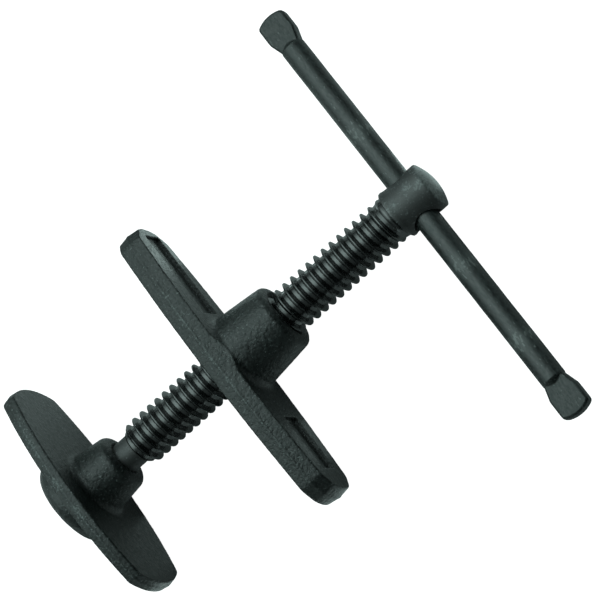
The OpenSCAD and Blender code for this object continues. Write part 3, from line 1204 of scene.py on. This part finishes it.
@dataclass
class TommyBar:
    """The round bar through the head, hammered flat at both ends.

    Attributes:
        material: The material to wear.
        radius: Radius of the bar.
        length: Length over both ends.
        slid: How far the bar has slid towards -Y.
        paddle: Length of a flat end.
        paddle_w: Width of a flat end.
        paddle_t: Thickness of a flat end.
        root: How far a flat end reaches into the round bar.
        shear: Length of the slope from the round to the flat.
        flare: Length over which a flat end widens.
        patches: Where the bar is rubbed, along its length.
        skin: Pairs of (hump width, height) of the bar's skin.
    """

    material: bpy.types.Material
    radius: float = 5.0
    length: float = 197.5
    slid: float = 4.5
    paddle: float = 16.0
    paddle_w: float = 12.5
    paddle_t: float = 6.0
    root: float = 1.5
    shear: float = 2.2
    flare: float = 6.0
    patches: tuple[float, ...] = (37.8, -28.0, -64.3)
    skin: Profile = ((9.0, 0.1), (1.4, 0.04))

    def plan(self, middle: float, inset: float, count: int) -> np.ndarray:
        """Draws one flattened end seen from above: flared sides, then straight ones, and an arched tip.

        Args:
            middle: The Y about which it is drawn.
            inset: How far it is drawn in.
            count: Number of points.

        Returns:
            Rows of (y, z) about the bar.
        """
        low, tip = self.length / 2 - self.paddle - self.root, self.length / 2
        waist, wide = math.sqrt(self.radius**2 - self.paddle_t**2 / 4), self.paddle_w / 2
        slope = (wide - waist) / (self.flare + self.root)
        aim = aims(count)
        out, across = aim[:, 0], np.abs(aim[:, 1])
        # Each limit is (distance from the middle, how fast an aim nears it).
        limits = [
            (waist + slope * (middle - low) - inset, across - slope * out),
            (wide - inset, across),
            (middle - low, -out),
        ]
        far = leave(aim, tip - self.paddle_w - middle, 0.0, self.paddle_w - inset)
        for distance, rate in limits:
            far = np.where(rate > TINY, np.minimum(far, distance / np.maximum(rate, TINY)), far)
        return softened(np.array([middle, 0.0]) + aim * far[:, None], 5)

    def flat_end(self) -> bpy.types.Object:
        """Extrudes one flattened end with bevelled edges, and turns it to lie along the bar.

        Returns:
            The closed solid.
        """
        half = self.paddle_t / 2
        middle = self.length / 2 - (self.paddle + self.root) / 2
        stations = [(-half, 0.9), (-half + 0.75, 0.1), (0.0, 0.0), (half - 0.75, 0.1), (half, 0.9)]
        end = stacked("flat_end", [(x, self.plan(middle, inset, 144)) for x, inset in stations], middle)
        end.data.transform(Matrix.Rotation(-math.pi / 2, 4, "Y"))
        return end

    def rub_bar(self, bar: bpy.types.Object) -> None:
        """Dulls the hammered flats, and rubs the coat thin in a few patches along the bar.

        Args:
            bar: The finished mesh, still along Y about the origin.
        """
        places, normals = points_of(bar)
        past = np.abs(places[:, 1]) - (self.length / 2 - self.paddle)
        flat = np.clip((np.abs(normals[:, 2]) - 0.85) / 0.1, 0, 1)
        note(bar, "matt", 0.3 * np.clip(past - 0.2, 0, 1) * flat)
        patches = [np.exp(-(((places[:, 1] - y) / 4) ** 2)) for y in self.patches]
        note(bar, "rub_and_sheen", 0.8 * np.max(patches, axis=0) * (places[:, 2] > 0))

    def build(self) -> None:
        """Makes the bar, works its ends in, slides it through the head and dresses it."""
        flat = self.length / 2 - self.paddle
        half = [(flat, self.radius), (flat + self.shear, self.paddle_t / 2 - 0.4)]
        stations = [(-x, radius) for x, radius in reversed(half)] + [(0, self.radius)] + half
        bar = turned("tommy_bar_round", stations)
        bar.data.transform(Matrix.Rotation(math.pi / 2, 4, "Z"))
        for angle in (0.0, math.pi):
            end = self.flat_end()
            end.data.transform(Matrix.Rotation(angle, 4, "Z"))
            work(bar, end, Join.ADD)
        forge_skin(bar, voxel=0.3, rounds=2, swell=self.skin)
        note_edges(bar, rounds=10, reach=0.25)
        self.rub_bar(bar)
        bar.data.transform(bar_place() @ Matrix.Translation((0, -self.slid * MM, 0)))
        finish_piece(bar, "tommy_bar", self.material)


@dataclass
class Studio:
    """The pale floor, the soft light and the camera.

    Attributes:
        focal: Focal length of the lens.
        sensor: Width of the sensor.
        shift: Shift of the lens, as shares of the picture.
        eye: Where the camera stands.
        right: Where the camera's right side points.
        up: Where its top points.
        back: Where its back points.
        tint: Colour of the light.
        boxes: Aim (x, y, z) and strength of each soft box.
        focus: How narrow the boxes are, as a power of the cosine.
        screen: Aim towards the side that isn't screened off.
        bounce: Stops of (y, glow) across the large card, dim under the tool as a painted shadow.
        far_floor: X where the far floor starts to glow, X where it glows fully, and that glow.
        cards: Middle (x, y), side and glow of each small card.
        grey: Colour of the cards.
    """

    focal: float = 157.856
    sensor: float = 36.0
    shift: tuple[float, float] = (0.0008, 0.0008)
    eye: tuple[float, float, float] = (353.06, -260.1, 930.04)
    right: tuple[float, float, float] = (0.7232, -0.5947, -0.3513)
    up: tuple[float, float, float] = (0.6481, 0.7601, 0.0475)
    back: tuple[float, float, float] = (0.2388, -0.2620, 0.9351)
    tint: str = "#e4fffb"
    boxes: tuple[tuple[float, float, float, float], ...] = (
        (0.0, 0.41, 0.91, 0.78),
        (-0.68, 0.40, 0.62, 0.50),
        (-0.20, 0.76, 0.62, 0.33),
        (0.30, 0.74, 0.60, 0.26),
        (-0.41, 0.0, 0.91, 0.48),
        (-0.40, -0.68, 0.62, 0.22),
        (-0.86, -0.50, 0.14, 0.13),
        (0.86, 0.50, 0.14, 0.07),
    )
    focus: float = 10.0
    screen: tuple[float, float, float] = (0.0, 0.95, 0.30)
    bounce: Profile = (
        (-150.0, 0.02),
        (-80.0, 0.03),
        (-48.0, 0.04),
        (-30.0, 0.05),
        (-14.0, 0.02),
        (0.0, 0.02),
        (40.0, 0.28),
        (60.0, 0.36),
        (110.0, 0.05),
    )
    far_floor: tuple[float, float, float] = (-100.0, -230.0, 0.5)
    cards: tuple[tuple[float, float, float, float], ...] = (
        (75.0, -82.0, 32.0, 0.65),
        (-6.0, -66.0, 28.0, 0.90),
        (98.0, 66.0, 26.0, 1.30),
        (200.0, 14.0, 26.0, 2.20),
        (17.0, -27.0, 22.0, 0.17),
        (97.0, -38.0, 18.0, 0.35),
    )
    grey: str = "#c8c8c8"

    def camera(self) -> None:
        """Stands the camera where the photograph was taken from."""
        data = bpy.data.cameras.new("photo_camera")
        data.sensor_width, data.lens, data.clip_end = self.sensor, self.focal, 50.0
        data.shift_x, data.shift_y = self.shift
        camera = bpy.data.objects.new("photo_camera", data)
        turn = Matrix((self.right, self.up, self.back)).transposed().to_4x4()
        camera.matrix_world = Matrix.Translation(Vector(self.eye) * MM) @ turn
        bpy.context.scene.collection.objects.link(camera)
        bpy.context.scene.camera = camera

    def floor(self, height: float) -> None:
        """Lays a plain pale floor, with cards that the tool alone sees.

        The large card's glow carries a painted shadow of the tool: it is dark under the tool, and bright
        beside it and far beyond its pressure plate, as the floor is round a tool lit from above. The small
        ones lie beside the plates and beyond the head.

        Args:
            height: The floor's height in metres.
        """
        floor = self.sheet("floor", height, "#f7f7f7", "#ffffff", 1.0)
        floor.visible_diffuse = floor.visible_glossy = False
        card = self.sheet("bounce_card", height - 0.5 * MM, self.grey, self.tint, 0.0)
        card.visible_camera = False
        self.shade_card(card.data.materials[0].node_tree)
        for index, (x, y, size, glow) in enumerate(self.cards):
            small = self.sheet(f"small_card_{index}", height, self.grey, self.tint, glow, size, (x, y))
            small.visible_camera = False

    def shade_card(self, tree: bpy.types.NodeTree) -> None:
        """Makes the large card glow by its stops along Y, dim under the tool as a painted shadow, and more
        on the far floor.

        Args:
            tree: The card's node tree.
        """
        low, high = self.bounce[0][0], self.bounce[-1][0]
        place = add(tree, "TexCoord").outputs["Object"]
        spot = add(tree, "SeparateXYZ", {0: place}).outputs
        share = add(tree, "MapRange", {0: spot["Y"], 1: low * MM, 2: high * MM}).outputs[0]
        ramp = add(tree, "ValToRGB", {0: share})
        stops = ramp.color_ramp.elements
        for _ in self.bounce[2:]:
            stops.new(0.5)
        for stop, (y, glow) in zip(stops, self.bounce):
            stop.position, stop.color = (y - low) / (high - low), (glow, glow, glow, 1.0)
        start, end, glow = self.far_floor
        far = add(tree, "MapRange", {0: spot["X"], 1: start * MM, 2: end * MM, 3: 0.0, 4: glow}).outputs[0]
        both = add(tree, "Math", {0: ramp.outputs[0], 1: far}, operation="ADD").outputs[0]
        tree.links.new(both, tree.nodes["Principled BSDF"].inputs["Emission Strength"])

    def sheet(
        self,
        name: str,
        height: float,
        colour: str,
        glow: str,
        strength: float,
        size: float = 8000.0,
        spot: tuple[float, float] = (0.0, 0.0),
    ) -> bpy.types.Object:
        """Lays one square sheet of matt paper, which scatters light evenly and shows no glint.

        Args:
            name: Name of the sheet.
            height: Its height in metres.
            colour: Its colour.
            glow: Colour of the light that it gives.
            strength: Strength of that light.
            size: Length of its side.
            spot: Its middle (x, y).

        Returns:
            The sheet, marked as stage.
        """
        clear_selection()
        bpy.ops.mesh.primitive_plane_add(size=size * MM, location=(spot[0] * MM, spot[1] * MM, height))
        sheet = bpy.context.object
        sheet.name = name
        paper = bpy.data.materials.new(f"{name}_paper")
        paper.use_nodes = True
        shader = paper.node_tree.nodes["Principled BSDF"]
        shader.inputs["Base Color"].default_value = linear(colour)
        shader.inputs["Roughness"].default_value = 0.9
        shader.inputs["Emission Color"].default_value = linear(glow)
        shader.inputs["Emission Strength"].default_value = strength
        sheet.data.materials.append(paper)
        sheet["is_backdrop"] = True
        return sheet

    def light(self) -> None:
        """Hangs wide soft boxes round the tool, most of them overhead at +Y, and screens off the -Y side."""
        world = bpy.data.worlds.new("studio")
        world.use_nodes = True
        tree = world.node_tree
        way = add(tree, "TexCoord").outputs["Generated"]
        total: Any = 0.0
        for x, y, z, strength in self.boxes:
            aim = Vector((x, y, z)).normalized()
            near = add(tree, "VectorMath", {0: way, 1: aim}, operation="DOT_PRODUCT").outputs["Value"]
            front = add(tree, "Math", {0: near, 1: 0.0}, operation="MAXIMUM").outputs[0]
            soft = add(tree, "Math", {0: front, 1: self.focus}, operation="POWER").outputs[0]
            total = add(tree, "Math", {0: soft, 1: strength, 2: total}, operation="MULTIPLY_ADD").outputs[0]
        side = add(tree, "VectorMath", {0: way, 1: self.screen}, operation="DOT_PRODUCT").outputs["Value"]
        kept = add(
            tree, "MapRange", {0: side, 1: -0.05, 2: 0.3, 3: 0.35, 4: 1.0}, interpolation_type="SMOOTHSTEP"
        ).outputs[0]
        screened = add(tree, "Math", {0: total, 1: kept}, operation="MULTIPLY").outputs[0]
        tree.links.new(screened, tree.nodes["Background"].inputs["Strength"])
        tree.nodes["Background"].inputs["Color"].default_value = linear(self.tint)
        bpy.context.scene.world = world
        bpy.context.scene.view_settings.view_transform = "Standard"


def main() -> None:
    """Builds the tool piece by piece, then the studio, with the floor at the lowest point of the imported
    solids.
    """
    logging.basicConfig(level=logging.INFO, format="%(message)s")
    solid_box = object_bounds()
    forged = FORGED.make()
    NutPlate(forged).build()
    PressurePlate(forged).build()
    LeadScrew(SCREW.make()).build()
    TommyBar(BAR.make()).build()
    # The snap ring is hidden, so its solid is dressed as it is.
    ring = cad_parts["snap_ring"]
    ring.data.materials.clear()
    ring.data.materials.append(SPRING.make())
    LOG.info("%s: the solid itself", ring.name)
    studio = Studio()
    studio.camera()
    studio.floor(solid_box[0].z)
    studio.light()


if __name__ == "__main__":
    main()
